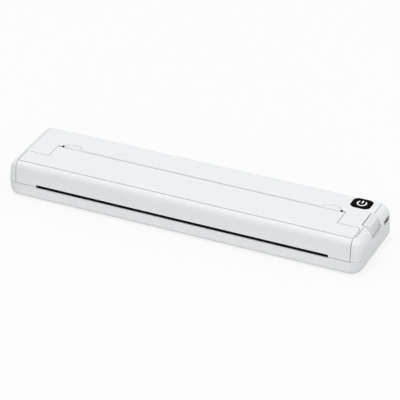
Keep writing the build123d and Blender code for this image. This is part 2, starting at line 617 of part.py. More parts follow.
def rear_housing():
    shell = UPPER_SHELL & block(-RAIL_OUTER, RAIL_OUTER, -HALF_DEPTH, HALF_DEPTH,
                                PARTING_Z, TOP_Z + 1)
    shell += seam_lip()
    under = CEILING_Z + 0.2
    rail = block(RAIL_INNER, RAIL_OUTER, RAIL_FRONT_Y, EAR_REAR_Y + 2, under - RAIL_DEPTH, under)
    shell += both_ends(rail)
    skirt = button_well(2.4, CEILING_Z - 3.6, under) & UPPER_SOLID
    shell += skirt
    for x, y in case_screw_places():
        shell += rod_z(x, y, PARTING_Z, under, BOSS_RADIUS) & UPPER_SOLID
    block_front = EAR_REAR_Y + COVER_GAP + 0.05
    front_wall = block(TONGUE_HALF + COVER_GAP, RAIL_INNER, block_front, block_front + 1.2,
                       CEILING_Z - 4.8, under)
    side_wall = block(TONGUE_HALF + COVER_GAP, TONGUE_HALF + COVER_GAP + 1.2, block_front,
                      HINGE_Y - 1, CEILING_Z - 4.8, under)
    boss_x = TONGUE_HALF + COVER_GAP
    boss = rod_x(boss_x, boss_x + 5.2, HINGE_Y, HINGE_Z, HINGE_BOSS_RADIUS)
    boss &= block(boss_x - 1, boss_x + 9, HINGE_Y - 9, HINGE_Y + 9, 0, under)
    shell += both_ends(front_wall + side_wall + boss)
    for side in (-1, 1):
        y = LATCH_Y + side * 2.5
        shell += block(SLIDER_LEFT_X - 1.5, LATCH_LEFT_X - COVER_GAP, y - 0.5, y + 0.5,
                       SLIDER_TOP_Z + 0.3, under)
    shell -= cover_room()
    shell -= both_ends(block(RAIL_INNER - 1, RAIL_OUTER + 1, -HALF_DEPTH - 1,
                             RAIL_FRONT_Y, 0, TOP_Z + 1))
    shell -= both_ends(rod_x(boss_x - 2, boss_x + 5.0, HINGE_Y, HINGE_Z,
                             HINGE_PIN_RADIUS + HINGE_FIT))
    ramp = [(LIP_Y - 1, TOP_Z + 1), (LIP_Y + LEAD_IN, TOP_Z + 1), (LIP_Y + LEAD_IN, TOP_Z),
            (LIP_Y, TOP_Z - LEAD_IN * 0.9), (LIP_Y - 1, TOP_Z - LEAD_IN * 0.9)]
    shell -= prism_x(ramp, LEAD_IN_END - PAPER_HALF, PAPER_HALF - LEAD_IN_END)
    shell -= both_ends(edge_mark_well(TOP_Z + 1))
    shell -= scallop(-1)
    shell -= scallop(1)
    shell -= button_well(PRESS_GAP, CEILING_Z - 6, TOP_Z + 2)
    shell -= button_well(1.2, CEILING_Z - 6, CEILING_Z)
    shell -= latch_opening()
    for x, y in case_screw_places():
        shell -= rod_z(x, y, PARTING_Z - 1, PARTING_Z + CASE_SCREW_BITE + 0.5, SCREW_RADIUS)
    return shell - reveal()


def edge_mark_well(top):
    """The pocket in the entry slot's rear edge, level with the paper's edge, for a dark stud."""
    well = rod_z(EDGE_MARK_X, EDGE_MARK_Y, TOP_Z - EDGE_MARK_HEIGHT, top, EDGE_MARK_RADIUS)
    return well & block(EDGE_MARK_X - 3, EDGE_MARK_X + 3, NOSE_Y + 0.3, LIP_Y + 5, 0, top)


def edge_marks():
    stud = edge_mark_well(TOP_Z - EDGE_MARK_SINK)
    return [stud, mirror(stud, about=Plane.YZ)]


def end_cap(side):
    far = HALF_LENGTH + 5
    region = block(RAIL_INNER, far, -HALF_DEPTH - 1, HALF_DEPTH + 1, PARTING_Z, TOP_Z + 1)
    region -= block(RAIL_INNER - 1, CAP_INNER, RAIL_FRONT_Y - SEAM, HALF_DEPTH + 2, 0, TOP_Z + 2)
    cap = UPPER_SHELL & region
    inner_x = HALF_LENGTH - WALL
    for y in (-HALF_DEPTH + 14.5, HALF_DEPTH - 16.5):
        hook = block(inner_x - 2.0, inner_x + 0.5, y - 3, y + 3, PARTING_Z + 0.4, PARTING_Z + 3)
        hook += block(inner_x - 2.0, inner_x - 0.2, y - 3, y + 3, PARTING_Z - 2.2, PARTING_Z + 1)
        cap += hook
    cap -= reveal()
    if side < 0:
        return mirror(cap, about=Plane.YZ)
    reach = LATCH_LENGTH / 2 + LATCH_SIDE_GAP
    cap -= latch_opening()
    cap += block(HALF_LENGTH - LATCH_LEDGE, inner_x + 0.3, LATCH_Y - reach, LATCH_Y + reach,
                 LATCH_SILL_Z - LATCH_LEDGE_THICKNESS, LATCH_SILL_Z)
    cap -= port_bar(HALF_LENGTH - 6, HALF_LENGTH + 1, PORT_CLEARANCE)
    return cap


# ---- Cover ------------------------------------------------------------------------------------
def front_fascia():
    region = block(-COVER_HALF, COVER_HALF, -HALF_DEPTH - 1, FASCIA_SEAM_Y - FASCIA_SEAM / 2,
                   PARTING_Z + SEAM, TOP_Z + 1)
    fascia = UPPER_SHELL & region
    fascia -= block(-EXIT_HALF, EXIT_HALF, -HALF_DEPTH - 1, -HALF_DEPTH + 8, 0, EXIT_TOP_Z)
    flange = block(-COVER_HALF + 4, COVER_HALF - 4, -HALF_DEPTH + 2.2, FASCIA_SEAM_Y + 7.0,
                   FLANGE_Z, FLANGE_Z + FLANGE_THICKNESS)
    for x, y in cover_screw_places():
        flange -= rod_z(x, y, 0, TOP_Z, SCREW_RADIUS + SCREW_CLEARANCE)
    return fascia + flange


def top_panel():
    front = FASCIA_SEAM_Y + FASCIA_SEAM / 2
    plan = block(-COVER_HALF, COVER_HALF, front, EAR_REAR_Y, FRAME_Z, TOP_Z + 1)
    plan = fillet(plan.edges().filter_by(Axis.Z).group_by(Axis.Y)[-1], EAR_CORNER_RADIUS - COVER_GAP)
    plan += block(-TONGUE_HALF, TONGUE_HALF, front, HINGE_Y, FRAME_Z, TOP_Z + 1)
    panel = UPPER_SHELL & plan
    nose = rod_x(-TONGUE_HALF, TONGUE_HALF, HINGE_Y, HINGE_Z, NOSE_RADIUS)
    panel += nose & block(-TONGUE_HALF, TONGUE_HALF, HINGE_Y - 3, HINGE_Y + 9, CEILING_Z, TOP_Z + 1)
    knuckle = rod_x(TONGUE_HALF - KNUCKLE_LENGTH, TONGUE_HALF, HINGE_Y, HINGE_Z, NOSE_RADIUS)
    knuckle += block(TONGUE_HALF - KNUCKLE_LENGTH, TONGUE_HALF, HINGE_Y - 3, HINGE_Y,
                     HINGE_Z - NOSE_RADIUS, CEILING_Z + 0.2)
    panel += both_ends(knuckle)
    panel -= both_ends(rod_x(TONGUE_HALF - KNUCKLE_LENGTH - 1, TONGUE_HALF + 1, HINGE_Y, HINGE_Z,
                             HINGE_PIN_RADIUS))
    for x, y in cover_screw_places():
        panel += rod_z(x, y, FLANGE_Z + FLANGE_THICKNESS, CEILING_Z + 0.1, 2.2)
        panel -= rod_z(x, y, 0, CEILING_Z + 0.6, SCREW_RADIUS)
    return panel


def hinge_pins():
    inner = TONGUE_HALF - KNUCKLE_LENGTH
    pin = rod_x(inner, inner + HINGE_PIN_LENGTH, HINGE_Y, HINGE_Z, HINGE_PIN_RADIUS)
    return [pin, mirror(pin, about=Plane.YZ)]


def cover_screws():
    screws = []
    for x, y in cover_screw_places():
        head_z = FRAME_Z - SCREW_HEAD_HEIGHT * 0.7
        screw = rod_z(x, y, head_z, FRAME_Z, SCREW_HEAD_RADIUS - 0.2)
        screw += rod_z(x, y, head_z, CEILING_Z + 0.4, SCREW_RADIUS)
        screws.append(screw)
    return screws


def cover_frame():
    top = FRAME_Z + FRAME_THICKNESS
    front = -HALF_DEPTH + 4.2
    deck = block(-COVER_HALF + 3, COVER_HALF - 3, front, EAR_REAR_Y - 0.4, FRAME_Z, top)
    deck += block(-TONGUE_HALF + 3.2, TONGUE_HALF - 3.2, front, HINGE_Y - 3.5, FRAME_Z, top)
    plate_front = PLATEN_Y - 6.5
    plate_rear = PLATEN_Y + 3.6
    side = block(SIDE_PLATE_X, SIDE_PLATE_X + BUSH_LENGTH, plate_front, plate_rear,
                 HEAD_TOP_Z + 0.6, top)
    side -= rod_x(SIDE_PLATE_X - 1, SIDE_PLATE_X + 9, PLATEN_Y, PLATEN_Z, BUSH_RADIUS)
    frame = deck + both_ends(side)
    rib = [(PLATEN_Y + 6.4, top - 0.2), (HINGE_Y - 3.5, top - 0.2), (HINGE_Y - 1.95, FRAME_Z - 1.0),
           (HINGE_Y - 4.55, HEAD_TOP_Z + 6.6), (HINGE_Y - 7.95, HEAD_TOP_Z + 3.6),
           (PLATEN_Y + 6.4, HEAD_TOP_Z + 2.0)]
    pitch = (PAPER_WIDTH - 8.0) / (GUIDE_RIBS - 1)
    for i in range(GUIDE_RIBS):
        x = (i - (GUIDE_RIBS - 1) / 2) * pitch
        frame += prism_x(rib, x - 0.8, x + 0.8)
    stay_x = PAPER_HALF * 0.57
    for x in (-stay_x, stay_x):
        frame += block(x - 0.8, x + 0.8, front, PLATEN_Y - PLATEN_RADIUS - 0.9, EXIT_TOP_Z + 1.5,
                       top)
    for x in (-stay_x, 0.0, stay_x):
        frame += rod_z(x, EAR_REAR_Y - 3.2, top - 0.2, CEILING_Z, 2.0)
    catch_x = COVER_HALF - 0.6
    catch = block(catch_x - 1.6, catch_x, HOOK_FRONT_Y - 2.0, EAR_REAR_Y - 0.6, CATCH_BOTTOM_Z, top)
    catch += block(catch_x - 3.4, catch_x, HOOK_FRONT_Y - 2.0, EAR_REAR_Y - 0.6, FRAME_Z, top)
    catch -= block(catch_x - 3, catch_x + 1, HOOK_FRONT_Y - 0.4, HOOK_FRONT_Y + HOOK_LENGTH + 0.4,
                   HOOK_Z - 0.4, SLIDER_TOP_Z + 0.4)
    frame += catch
    for x, y in cover_screw_places():
        frame -= rod_z(x, y, 0, TOP_Z, SCREW_RADIUS + SCREW_CLEARANCE)
    return frame


def platen_bushes():
    bush = ring_x(SIDE_PLATE_X - 0.2, SIDE_PLATE_X + BUSH_LENGTH, PLATEN_Y, PLATEN_Z, BUSH_RADIUS,
                  SHAFT_RADIUS + RUNNING_FIT)
    return [bush, mirror(bush, about=Plane.YZ)]


def platen_shaft():
    return rod_x(GEAR_X - GEAR_WIDTH / 2, SIDE_PLATE_X + BUSH_LENGTH + 1.2, PLATEN_Y, PLATEN_Z,
                 SHAFT_RADIUS)


def platen_rubber():
    return ring_x(-PLATEN_HALF, PLATEN_HALF, PLATEN_Y, PLATEN_Z, PLATEN_RADIUS, SHAFT_RADIUS)


# ---- Drive ------------------------------------------------------------------------------------
def platen_gear():
    return gear(PLATEN_TEETH, GEAR_X, *PLATEN_AXIS, SHAFT_RADIUS)


def idler_gear():
    return gear(IDLER_TEETH, GEAR_X, *IDLER_AXIS, IDLER_PIN_RADIUS + RUNNING_FIT)


def motor_pinion():
    y, z, tooth = MOTOR_AXIS
    shaft = rod_x(GEAR_X - GEAR_WIDTH / 2 - 0.4, MOTOR_X + 3, y, z, MOTOR_SHAFT_RADIUS)
    return gear(PINION_TEETH, GEAR_X, y, z, tooth, MOTOR_SHAFT_RADIUS / 2) + shaft


def gear_plate():
    front = PLATEN_Y + SHAFT_RADIUS + 1.2
    plate = block(GEAR_PLATE_X, GEAR_PLATE_X + GEAR_PLATE_THICKNESS, front,
                  MOTOR_AXIS[0] + MOTOR_EAR_REACH + 2.0, FLOOR_Z, MOTOR_AXIS[1] + MOTOR_RADIUS)
    plate -= rod_x(GEAR_PLATE_X - 1, MOTOR_X + 1, MOTOR_AXIS[0], MOTOR_AXIS[1], 2.0)
    for side in (-1, 1):
        y = MOTOR_AXIS[0] + side * MOTOR_EAR_REACH
        plate -= rod_x(GEAR_PLATE_X - 1, MOTOR_X + 1, y, MOTOR_AXIS[1], MOTOR_SCREW_RADIUS)
    plate -= rod_x(GEAR_PLATE_X - 1, MOTOR_X + 1, IDLER_AXIS[0], IDLER_AXIS[1], IDLER_PIN_RADIUS)
    return plate


def idler_pin():
    left = GEAR_X - GEAR_WIDTH / 2 - 0.9
    pin = rod_x(left + 0.5, MOTOR_X, IDLER_AXIS[0], IDLER_AXIS[1], IDLER_PIN_RADIUS)
    return pin + rod_x(left, left + 0.6, IDLER_AXIS[0], IDLER_AXIS[1], IDLER_PIN_RADIUS + 0.6)


def stepper_motor():
    y, z, _ = MOTOR_AXIS
    motor = rod_x(MOTOR_X, MOTOR_X + MOTOR_LENGTH, y, z, MOTOR_RADIUS)
    motor = chamfer(motor.edges().group_by(Axis.X)[-1], 0.5)
    ears = block(MOTOR_X, MOTOR_X + 0.8, y - MOTOR_EAR_REACH - 1.8, y + MOTOR_EAR_REACH + 1.8,
                 z - 2, z + 2)
    motor += ears
    for side in (-1, 1):
        motor -= rod_x(MOTOR_X - 1, MOTOR_X + 1, y + side * MOTOR_EAR_REACH, z, MOTOR_SCREW_RADIUS)
    return motor - rod_x(MOTOR_X - 1, MOTOR_X + 3.4, y, z, MOTOR_SHAFT_RADIUS + RUNNING_FIT)


def motor_screws():
    screws = []
    for side in (-1, 1):
        y = MOTOR_AXIS[0] + side * MOTOR_EAR_REACH
        z = MOTOR_AXIS[1]
        screw = rod_x(GEAR_PLATE_X - 0.2, MOTOR_X + 0.8, y, z, MOTOR_SCREW_RADIUS)
        screws.append(screw + rod_x(MOTOR_X + 0.8, MOTOR_X + 1.8, y, z, MOTOR_SCREW_RADIUS + 0.6))
    return screws


# ---- Print head -------------------------------------------------------------------------------
def head_bracket():
    front = BRACKET_Y - BRACKET_DEPTH / 2
    rear = BRACKET_Y + BRACKET_DEPTH / 2
    return block(-BRACKET_HALF, BRACKET_HALF, front, rear, BRACKET_Z, HEAT_SINK_Z)


def head_heat_sink():
    half = HEAT_SINK_HALF
    front = PLATEN_Y - HEAT_SINK_DEPTH / 2
    rear = PLATEN_Y + HEAT_SINK_DEPTH / 2
    sink = block(-half, half, front, rear, HEAT_SINK_Z, CERAMIC_Z)
    for i in range(3):
        y = front + HEAT_SINK_DEPTH * (i + 1) / 4
        sink -= block(-half - 1, half + 1, y - FIN_GROOVE / 2, y + FIN_GROOVE / 2,
                      HEAT_SINK_Z - 1, HEAT_SINK_Z + 1.6)
    return sink


def head_ceramic():
    return block(-HEAT_SINK_HALF, HEAT_SINK_HALF, PLATEN_Y - CERAMIC_DEPTH / 2,
                 PLATEN_Y + CERAMIC_DEPTH / 2, CERAMIC_Z, HEAD_TOP_Z)


def heater_line():
    return block(-PAPER_HALF, PAPER_HALF, PLATEN_Y - HEATER_LINE_WIDTH / 2,
                 PLATEN_Y + HEATER_LINE_WIDTH / 2, HEAD_TOP_Z, HEAD_TOP_Z + HEATER_LINE_HEIGHT)


def head_circuit():
    half = (PAPER_WIDTH + HEAD_CIRCUIT_SPARE) / 2
    rear = BRACKET_Y + BRACKET_DEPTH / 2 - 0.4
    board = block(-half, half, rear - HEAD_CIRCUIT_DEPTH, rear, HEAT_SINK_Z,
                  HEAT_SINK_Z + CIRCUIT_THICKNESS)
    return board + block(SOCKET_X, SOCKET_X + SOCKET_LENGTH, rear - 2.6, rear - 0.4,
                         HEAT_SINK_Z + CIRCUIT_THICKNESS, HEAT_SINK_Z + CIRCUIT_THICKNESS + 0.9)


def head_springs():
    return [coil_spring(x, BRACKET_Y, FLOOR_Z, BRACKET_Z, SPRING_RADIUS, SPRING_WIRE_RADIUS,
                        SPRING_TURNS) for x in HEAD_SPRING_X]


def head_flex_cable():
    head_y = BRACKET_Y + BRACKET_DEPTH / 2 - 0.4
    bend_y = BOARD_FRONT_Y - 2.3
    socket_y = BOARD_FRONT_Y + 0.05
    low = HEAT_SINK_Z + 0.5
    high = BOARD_TOP_Z + 0.7
    film = CABLE_THICKNESS
    left = SOCKET_X + (SOCKET_LENGTH - CABLE_WIDTH) / 2
    outline = [(head_y, low), (bend_y + film, low), (bend_y + film, high), (socket_y, high),
               (socket_y, high + film), (bend_y, high + film), (bend_y, low + film),
               (head_y, low + film)]
    return prism_x(outline, left, left + CABLE_WIDTH)


# ---- Paper guide, battery and electronics -----------------------------------------------------
def paper_guide():
    thickness = PAPER_GUIDE_THICKNESS
    front = PLATEN_Y + HEAT_SINK_DEPTH / 2 + 0.6
    knee = (HINGE_Y - 2.35, HEAD_TOP_Z + 4.6)
    mouth = (LIP_Y + 0.45, CEILING_Z - 0.1)
    face = ThreePointArc(mouth, knee, (front, HEAD_TOP_Z))
    back = ThreePointArc((front, HEAD_TOP_Z - thickness), (knee[0] + thickness, knee[1] - thickness),
                         (mouth[0] + thickness, mouth[1]))
    loop = [*face.edges(), Line(face @ 1, back @ 0), *back.edges(), Line(back @ 1, face @ 0)]
    outline = make_face(Plane.YZ * Wire(loop))
    half = PAPER_HALF + 0.3
    guide = extrude(Pos(-half, 0, 0) * outline, amount=2 * half, dir=(1, 0, 0))
    outer = PAPER_HALF - GUIDE_LEG_INSET
    leg = [(HINGE_Y - 4.95, FLOOR_Z), (HINGE_Y - 1.75, FLOOR_Z), (HINGE_Y - 1.75, HEAD_TOP_Z + 4.8),
           (HINGE_Y - 4.95, HEAD_TOP_Z + 1.8)]
    for x in (-outer, -outer / 3, outer / 3, outer):
        guide += prism_x(leg, x - 1, x + 1)
    x = SENSOR_INSET - PAPER_HALF
    return guide - block(x - 1.5, x + 1.5, HINGE_Y - 8.3, HINGE_Y - 0.3, HEAD_TOP_Z + 0.2,
                         HEAD_TOP_Z + 2.6)


def battery_cells():
    right = rod_x(CELL_GAP, CELL_GAP + CELL_LENGTH, CELL_Y, CELL_Z, CELL_RADIUS)
    right = fillet(right.edges(), 0.8)
    return [right, mirror(right, about=Plane.YZ)]


def battery_contacts():
    near = CELL_GAP + CELL_LENGTH
    contact = rod_x(near, near + CONTACT_LENGTH, CELL_Y, CELL_Z, CONTACT_RADIUS)
    link = rod_x(-CELL_GAP, CELL_GAP, CELL_Y, CELL_Z, CONTACT_RADIUS)
    return [contact, mirror(contact, about=Plane.YZ), link]


def battery_holder():
    half = HOLDER_HALF
    inner = half - HOLDER_WALL
    front = CELL_Y - CELL_RADIUS - HOLDER_SPARE * 0.6
    rear = CELL_Y + CELL_RADIUS + HOLDER_SPARE * 0.4
    tray = block(-half, half, front, rear, FLOOR_Z, CELL_Z - 3)
    for side in (-1, 1):
        tray += block(side * inner, side * half, front, rear - 0.4, FLOOR_Z, CELL_Z + 5.5)
    return tray - rod_x(-inner, inner, CELL_Y, CELL_Z, CELL_RADIUS + 0.1)


def battery_leads():
    z = BOARD_TOP_Z + LEAD_RADIUS + 0.05
    return [rod_x(HOLDER_HALF, BOARD_LEFT_X + 2.5, CELL_Y - y, z, LEAD_RADIUS) for y in (5.0, 2.2)]


def main_board():
    board = block(BOARD_LEFT_X, BOARD_RIGHT_X, BOARD_FRONT_Y, BOARD_REAR_Y, BOARD_Z, BOARD_TOP_Z)
    board -= block(BOARD_RIGHT_X - 5.5, BOARD_RIGHT_X + 1, PORT_Y + PORT_WIDTH / 2 + 0.5,
                   BOARD_REAR_Y + 1, BOARD_Z - 1, BOARD_TOP_Z + 1)
    for x, y in case_screw_places():
        board -= rod_z(x, y, BOARD_Z - 1, BOARD_TOP_Z + 1, BOSS_RADIUS + 0.3)
    return board


def board_chips():
    z = BOARD_TOP_Z
    x, y = BOARD_LEFT_X, BOARD_FRONT_Y
    radio = block(x + 6, x + 14, y + 4, y + 10, z, z + 1.6)
    processor = block(x + 16, x + 22, y + 3, y + 9, z, z + 0.9)
    driver = block(BUTTON_X - 9, BUTTON_X - 4.5, y + 11, y + 15, z, z + 1.1)
    socket = block(SOCKET_X, SOCKET_X + SOCKET_LENGTH, y + 0.05, y + 2.6, z, z + 1.5)
    return [processor, radio, driver, socket]


def usb_c_receptacle():
    face_x = HALF_LENGTH - inset(PORT_Z, END, 0) - PORT_RECESS
    rear_x = face_x - PORT_LENGTH
    shell = port_bar(rear_x, face_x, 0) - port_bar(rear_x + 0.6, face_x + 1, -PORT_SHELL)
    return shell


def usb_c_tongue():
    face_x = HALF_LENGTH - inset(PORT_Z, END, 0) - PORT_RECESS
    return block(face_x - PORT_LENGTH + 0.6, face_x - 0.5, PORT_Y - 3.35, PORT_Y + 3.35,
                 PORT_Z - 0.35, PORT_Z + 0.35)


def tact_switch():
    half = TACT_WIDTH / 2
    body = block(BUTTON_X - half, BUTTON_X + half, BUTTON_Y - half, BUTTON_Y + half, BOARD_TOP_Z,
                 BOARD_TOP_Z + TACT_HEIGHT)
    top = BOARD_TOP_Z + TACT_HEIGHT
    return body + rod_z(BUTTON_X, BUTTON_Y, top, top + PLUNGER_HEIGHT, PLUNGER_RADIUS)


def cover_switch():
    """Stands under the cover's catch, which holds its plunger down while the cover is shut."""
    x = COVER_HALF - 1.4
    y = HOOK_FRONT_Y + HOOK_LENGTH / 2
    top = CATCH_BOTTOM_Z - 0.3
    body = block(x - 2.0, x + 1.6, y - 2.6, y + 2.6, FLOOR_Z, top - 1.0)
    return body + block(x - 0.7, x + 0.7, y - 1.2, y + 1.2, top - 1.0, top)


def paper_sensor():
    """A small upright board whose eye looks through the window in the paper guide."""
    x = SENSOR_INSET - PAPER_HALF
    y = HINGE_Y + 0.85
    board = block(x - 3.5, x + 3.5, y, y + 1.6, FLOOR_Z, HEAD_TOP_Z + 2.7)
    return board + block(x - 2, x + 2, y - 1.8, y, HEAD_TOP_Z - 0.4, HEAD_TOP_Z + 1.8)


# ---- Buttons ----------------------------------------------------------------------------------
def power_symbol_shape(z0, z1):
    ring = rod_z(BUTTON_X, BUTTON_Y, z0, z1, SYMBOL_RADIUS)
    ring -= rod_z(BUTTON_X, BUTTON_Y, z0 - 1, z1 + 1, SYMBOL_RADIUS - SYMBOL_STROKE)
    far = 2 * SYMBOL_RADIUS
    spread = far * tan(radians(SYMBOL_OPENING))
    wedge = make_face(Polyline((0, 0), (spread, far), (-spread, far), close=True))
    ring -= extrude(Pos(BUTTON_X, BUTTON_Y, z0 - 1) * wedge, amount=z1 - z0 + 2)
    bar = pad_z(BUTTON_X, BUTTON_Y + SYMBOL_BAR_LENGTH / 2 - 0.1, z0, z1, SYMBOL_BAR_WIDTH,
                SYMBOL_BAR_LENGTH, SYMBOL_BAR_WIDTH * 0.45)
    return ring, bar


def power_symbol():
    ring, bar = power_symbol_shape(BUTTON_TOP_Z - SYMBOL_DEPTH, BUTTON_TOP_Z)
    return [ring, bar]


def power_button():
    cap = button_well(0, CEILING_Z - 0.9, BUTTON_TOP_Z)
    cap = fillet(cap.edges().group_by(Axis.Z)[-1], 0.5)
    cap += button_well(0.85, CEILING_Z - 0.9, CEILING_Z - 0.1)
    stem_z = BOARD_TOP_Z + TACT_HEIGHT + PLUNGER_HEIGHT + BUTTON_TRAVEL + 0.1
    cap += rod_z(BUTTON_X, BUTTON_Y, stem_z, CEILING_Z - 0.9, 2.0)
    for piece in power_symbol_shape(BUTTON_TOP_Z - SYMBOL_DEPTH, BUTTON_TOP_Z + 1):
        cap -= piece
    return cap


def latch_facet(side):
    """The plane that takes one end of the latch button's ridge down to the casing's skin."""
    end = LATCH_Y + side * LATCH_LENGTH / 2
    inner = Vector(LATCH_LEFT_X, end, TOP_Z)
    ridge = Vector(LATCH_TOP_RIGHT_X, end - side * LATCH_FACET, TOP_Z)
    lower = Vector(LATCH_BOTTOM_RIGHT_X, end, LATCH_BOTTOM_Z)
    outward = (ridge - inner).cross(lower - inner) * side
    return Plane(origin=inner, z_dir=outward)


def latch_outline(shrink):
    """End view of the latch button: flat on top, then down the end of the printer."""
    slope = (LATCH_BOTTOM_RIGHT_X - LATCH_TOP_RIGHT_X) / (TOP_Z - LATCH_BOTTOM_Z)
    low = LATCH_BOTTOM_Z - (1 if shrink else 0)
    high = TOP_Z - shrink
    right_high = LATCH_TOP_RIGHT_X - shrink + slope * shrink
    right_low = right_high + slope * (high - low)
    left = LATCH_LEFT_X - (1 if shrink else 0)
    return [(left, low), (right_low, low), (right_high, high), (left, high)]


def latch_link(ease, low, high):
    """A 45 degree bar under the latch button: pushed down, it drives the slider outwards."""
    half = LINK_THICKNESS / 2 + ease
    bottom = LINK_X + low - SLIDER_Z
    top = LINK_X + high - SLIDER_Z
    outline = [(bottom - half, low), (bottom + half, low), (top + half, high), (top - half, high)]
    width = LINK_HALF_WIDTH + ease
    return prism_y(outline, LATCH_Y - width, LATCH_Y + width)


def latch_button():
    half = LATCH_LENGTH / 2
    y0, y1 = LATCH_Y - half, LATCH_Y + half
    cap = prism_y(latch_outline(0), y0, y1)
    outer_top = cap.edges().filter_by(Axis.Y).group_by(Axis.Z)[-1].sort_by(Axis.X)[-1]
    cap = fillet(outer_top, LATCH_EDGE_RADIUS)
    for side in (-1, 1):
        cap = split(cap, bisect_by=latch_facet(side), keep=Keep.BOTTOM)
    cap -= block(LATCH_BOTTOM_RIGHT_X - LATCH_SKIRT, HALF_LENGTH, y0 - 1, y1 + 1,
                 LATCH_BOTTOM_Z - 1, LATCH_BOTTOM_Z + LATCH_SKIRT_HEIGHT)
    cap -= block(LATCH_LEFT_X - 1, HALF_LENGTH, y1 - LATCH_SKIRT, y1 + 1,
                 LATCH_BOTTOM_Z - 1, LATCH_BOTTOM_Z + LATCH_REAR_STEP)
    cap -= prism_y(latch_outline(LATCH_WALL), y0 + LATCH_WALL, y1 - LATCH_WALL)
    high = CEILING_Z + 0.4
    bend = SLIDER_TOP_Z + 1.1
    cap += latch_link(0, SLIDER_Z - 0.5, bend)
    stem_x = LINK_X + bend - SLIDER_Z
    cap += block(stem_x - LINK_THICKNESS / 2, stem_x + LINK_THICKNESS / 2,
                 LATCH_Y - LINK_HALF_WIDTH, LATCH_Y + LINK_HALF_WIDTH, bend, high)
    cap += rod_z(LATCH_SPRING_X, LATCH_SPRING_Y, LATCH_SPRING_TOP, high, LATCH_SPRING_RADIUS)
    return cap


def latch_spring():
    return coil_spring(LATCH_SPRING_X, LATCH_SPRING_Y, LATCH_SEAT_Z, LATCH_SPRING_TOP,
                       LATCH_SPRING_RADIUS, LATCH_SPRING_WIRE, 6)


def latch_hook():
    slider = block(SLIDER_LEFT_X, SLIDER_RIGHT_X, LATCH_Y - SLIDER_HALF_WIDTH,
                   LATCH_Y + SLIDER_HALF_WIDTH, SLIDER_Z, SLIDER_TOP_Z)
    slider -= latch_link(LINK_EASE, SLIDER_Z - 1, SLIDER_TOP_Z + 1)
    arm_x = RAIL_INNER + 0.6
    arm = block(arm_x, arm_x + 1.6, HOOK_FRONT_Y, LATCH_Y - SLIDER_HALF_WIDTH, HOOK_Z,
                SLIDER_TOP_Z)
    tip = block(RAIL_INNER - 0.05, arm_x + 1, HOOK_FRONT_Y, HOOK_FRONT_Y + HOOK_LENGTH, HOOK_Z,
                SLIDER_TOP_Z)
    return slider + arm + tip


PIECES = {
    "lower_shell": lower_shell,
    "rear_housing": rear_housing,
    "left_end_cap": lambda: end_cap(-1),
    "right_end_cap": lambda: end_cap(1),
    "exit_guide": exit_guide,
    "edge_marks": edge_marks,
    "rubber_feet": rubber_feet,
    "case_screws": case_screws,
    "front_fascia": front_fascia,
    "top_panel": top_panel,
    "cover_frame": cover_frame,
    "cover_screws": cover_screws,
    "hinge_pins": hinge_pins,
    "platen_bushes": platen_bushes,
    "platen_shaft": platen_shaft,
    "platen_rubber": platen_rubber,
    "platen_gear": platen_gear,
    "idler_gear": idler_gear,
    "idler_pin": idler_pin,
    "motor_pinion": motor_pinion,
    "stepper_motor": stepper_motor,
    "motor_screws": motor_screws,
    "gear_plate": gear_plate,
    "head_bracket": head_bracket,
    "head_heat_sink": head_heat_sink,
    "head_ceramic": head_ceramic,
    "heater_line": heater_line,
    "head_circuit": head_circuit,
    "head_springs": head_springs,
    "head_flex_cable": head_flex_cable,
    "paper_guide": paper_guide,
    "paper_sensor": paper_sensor,
    "cover_switch": cover_switch,
    "battery_cells": battery_cells,
    "battery_contacts": battery_contacts,
    "battery_holder": battery_holder,
    "battery_leads": battery_leads,
    "main_board": main_board,
    "board_chips": board_chips,
    "usb_c_receptacle": usb_c_receptacle,
    "usb_c_tongue": usb_c_tongue,
    "tact_switch": tact_switch,
    "power_button": power_button,
    "power_symbol": power_symbol,
    "latch_button": latch_button,
    "latch_hook": latch_hook,
    "latch_spring": latch_spring,
}

os.makedirs("parts", exist_ok=True)
for name, make in PIECES.items():
    piece = make()
    if isinstance(piece, list):
        piece = Compound(children=piece)
    piece.label = name
    export_step(piece, f"parts/{name}.step")
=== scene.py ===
from math import radians

import bmesh
import bpy
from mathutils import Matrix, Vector

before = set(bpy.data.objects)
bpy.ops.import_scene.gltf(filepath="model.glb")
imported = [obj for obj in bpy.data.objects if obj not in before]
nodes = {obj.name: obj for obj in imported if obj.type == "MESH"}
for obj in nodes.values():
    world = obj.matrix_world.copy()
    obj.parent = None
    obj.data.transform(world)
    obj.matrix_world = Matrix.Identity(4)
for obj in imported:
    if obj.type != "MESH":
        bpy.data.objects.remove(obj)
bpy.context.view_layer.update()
scene = bpy.context.scene

# ---- Camera -----------------------------------------------------------------------------------
# A long lens from the front and above, held level, with the printer's right end nearer to it.
# Places are in metres, and angles in degrees.
CAMERA_AZIMUTH = 24.644
CAMERA_ELEVATION = 30.842
CAMERA_PLACE = (0.59127, -1.28398, 0.85489)
LENS_MM = 216.0
SENSOR_MM = 36.0
NEAREST = 0.05
FARTHEST = 20.0

camera_data = bpy.data.cameras.new("camera")
camera_data.lens = LENS_MM
camera_data.sensor_width = SENSOR_MM
camera_data.clip_start = NEAREST
camera_data.clip_end = FARTHEST
camera = bpy.data.objects.new("camera", camera_data)
camera.location = CAMERA_PLACE
camera.rotation_euler = (radians(90 - CAMERA_ELEVATION), 0, radians(CAMERA_AZIMUTH))
scene.collection.objects.link(camera)
scene.camera = camera

# ---- Light tent -------------------------------------------------------------------------------
# The pale walls of a light tent give most of the light. Where the camera or a glossy surface
# looks past the printer, it sees plain white.
TENT_COLOUR = "#FDFEFE"
TENT_STRENGTH = 0.8
WHITE = (1, 1, 1, 1)
WHITE_STRENGTH = 1.0
SEEN_RAYS = ("Is Camera Ray", "Is Glossy Ray", "Is Transmission Ray")

scene.view_settings.view_transform = "Standard"


